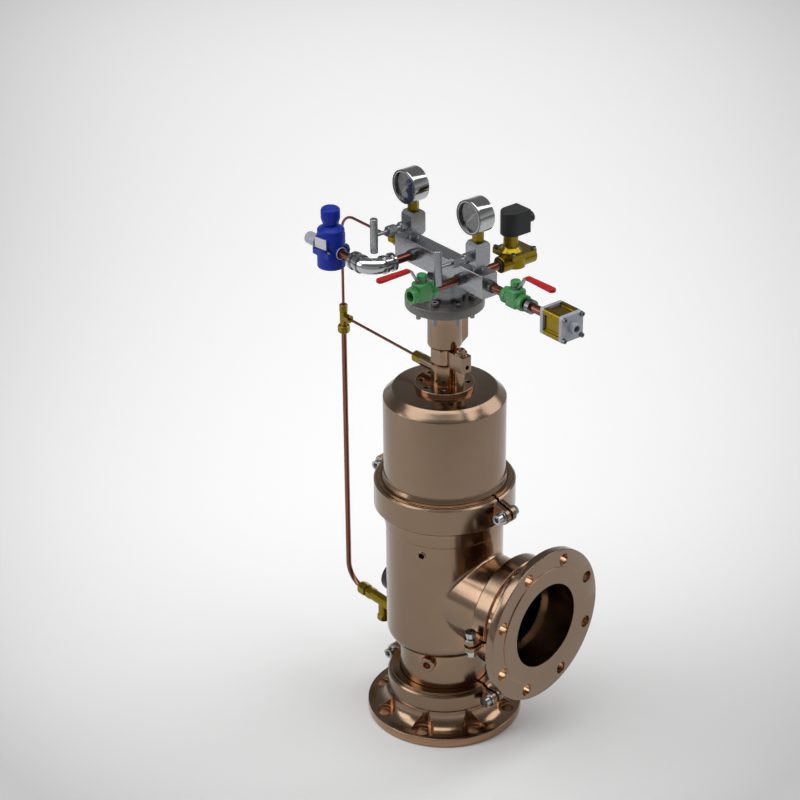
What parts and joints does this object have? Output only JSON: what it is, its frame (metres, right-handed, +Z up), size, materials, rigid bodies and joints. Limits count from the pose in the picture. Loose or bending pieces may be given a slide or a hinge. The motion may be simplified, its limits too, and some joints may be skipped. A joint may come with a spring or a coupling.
{
  "type": "deluge valve",
  "caption": "Angle pattern deluge valve: flanged bronze body under a piston bonnet, with pilot column, manifold, gauges, ball valves, regulator and solenoid.",
  "frame": {"origin": "centre of the inlet flange's gasket face, on the valve's vertical axis", "axes": "+Z up the valve's axis, +X out through the outlet flange, +Y completes the right-handed set"},
  "size_m": [0.6112, 0.3402, 1.0321],
  "materials": {
    "bronze": "satin cast bronze",
    "machined_bronze": "smooth turned bronze",
    "stainless": "satin stainless steel",
    "grey_flange": "dark grey satin",
    "chrome": "polished",
    "zinc_steel": "plated steel",
    "green_enamel": "glossy enamel",
    "red_grip": "smooth vinyl dip",
    "blue_enamel": "glossy enamel",
    "brass": "machined brass",
    "copper": "drawn copper",
    "black_plastic": "fine matt",
    "grey_plastic": "smooth",
    "gauge_glass": "clear",
    "dial_face": "printed dial",
    "pointer_white": "matt",
    "seal_rubber": "moulded",
    "spring_steel": "oiled"
  },
  "bodies": {
    "valve_body": {"inlet_flange": "bronze", "outlet_flange": "bronze", "body": "bronze", "lower_clamp": "bronze", "outlet_clamp": "bronze", "upper_clamp": "bronze", "clamp_bolts": "zinc_steel", "joint_seals": "seal_rubber", "seat_ring": "machined_bronze", "cylinder_liner": "machined_bronze", "return_spring": "spring_steel", "bonnet": "bronze", "side_port_cap": "black_plastic", "pilot_base": "machined_bronze", "pilot_base_screws": "zinc_steel", "relay_block": "machined_bronze", "union_nut": "machined_bronze", "pilot_column": "machined_bronze", "top_flange": "grey_flange", "top_flange_bolts": "zinc_steel", "manifold_hub": "stainless", "manifold_block": "stainless", "gauge_valves": "stainless", "gland_nuts": "stainless", "gauge_sockets": "brass", "gauge_cases": "chrome", "gauge_glasses": "gauge_glass", "gauge_dials": "dial_face", "ball_valve_bodies": "green_enamel", "pipe_nipples": "copper", "pipe_sleeves": "zinc_steel", "chrome_elbow": "chrome", "regulator_body": "blue_enamel", "regulator_bonnet": "blue_enamel", "regulator_port_cap": "grey_plastic", "copper_tubes": "copper", "tube_fittings": "brass", "tube_nuts": "brass", "solenoid_body": "brass", "solenoid_coil": "black_plastic", "filter_profile": "brass", "filter_end_caps": "grey_plastic", "trim_screws": "zinc_steel"},
    "piston_assembly": {"valve_disc": "machined_bronze", "piston_seals": "seal_rubber", "piston": "machined_bronze", "piston_stem": "stainless"},
    "left_tee_spindle": {"left_spindle": "stainless"},
    "right_tee_spindle": {"right_spindle": "stainless"},
    "left_pointer": {"left_gauge_pointer": "pointer_white"},
    "right_pointer": {"right_gauge_pointer": "pointer_white"},
    "drain_lever": {"drain_valve_ball": "chrome", "drain_valve_lever": "zinc_steel", "drain_lever_grip": "red_grip"},
    "test_lever": {"test_valve_ball": "chrome", "test_valve_lever": "zinc_steel", "test_lever_grip": "red_grip"},
    "knob": {"regulator_knob": "blue_enamel"},
    "plunger": {"solenoid_plunger": "stainless"}
  },
  "joints": [
    {"name": "piston_lift", "type": "slide", "parent": "valve_body", "child": "piston_assembly", "axis": [0, 0, 1], "range_m": [0, 0.042], "stiffness_N_per_m": 2500, "deforming": ["return_spring"]},
    {"name": "left_gauge_cock", "type": "hinge", "parent": "valve_body", "child": "left_tee_spindle", "pos_m": [-0.09309, -0.0721, 0.932], "axis": [0.1409, 0.99, 0], "range_deg": [0, 360]},
    {"name": "right_gauge_cock", "type": "hinge", "parent": "valve_body", "child": "right_tee_spindle", "pos_m": [0.07126, -0.09549, 0.932], "axis": [0.1409, 0.99, 0], "range_deg": [0, 360]},
    {"name": "left_gauge_needle", "type": "hinge", "parent": "valve_body", "child": "left_pointer", "pos_m": [-0.08118, 0.01155, 1.0025], "axis": [0.1409, 0.99, 0], "range_deg": [0, 270]},
    {"name": "right_gauge_needle", "type": "hinge", "parent": "valve_body", "child": "right_pointer", "pos_m": [0.08316, -0.01184, 1.0025], "axis": [0.1409, 0.99, 0], "range_deg": [0, 270]},
    {"name": "drain_valve_turn", "type": "hinge", "parent": "valve_body", "child": "drain_lever", "pos_m": [0.04814, -0.10887, 0.886], "axis": [0, 0, 1], "range_deg": [-90, 0]},
    {"name": "test_valve_turn", "type": "hinge", "parent": "valve_body", "child": "test_lever", "pos_m": [0.17622, -0.02508, 0.886], "axis": [0, 0, 1], "range_deg": [-90, 0]},
    {"name": "regulator_adjust", "type": "hinge", "parent": "valve_body", "child": "knob", "pos_m": [-0.18303, -0.08304, 0.944], "axis": [0, 0, 1], "range_deg": [-180, 180]},
    {"name": "solenoid_lift", "type": "slide", "parent": "valve_body", "child": "plunger", "axis": [0, 0, 1], "range_m": [0, 0.004], "stiffness_N_per_m": 400}
  ]
}
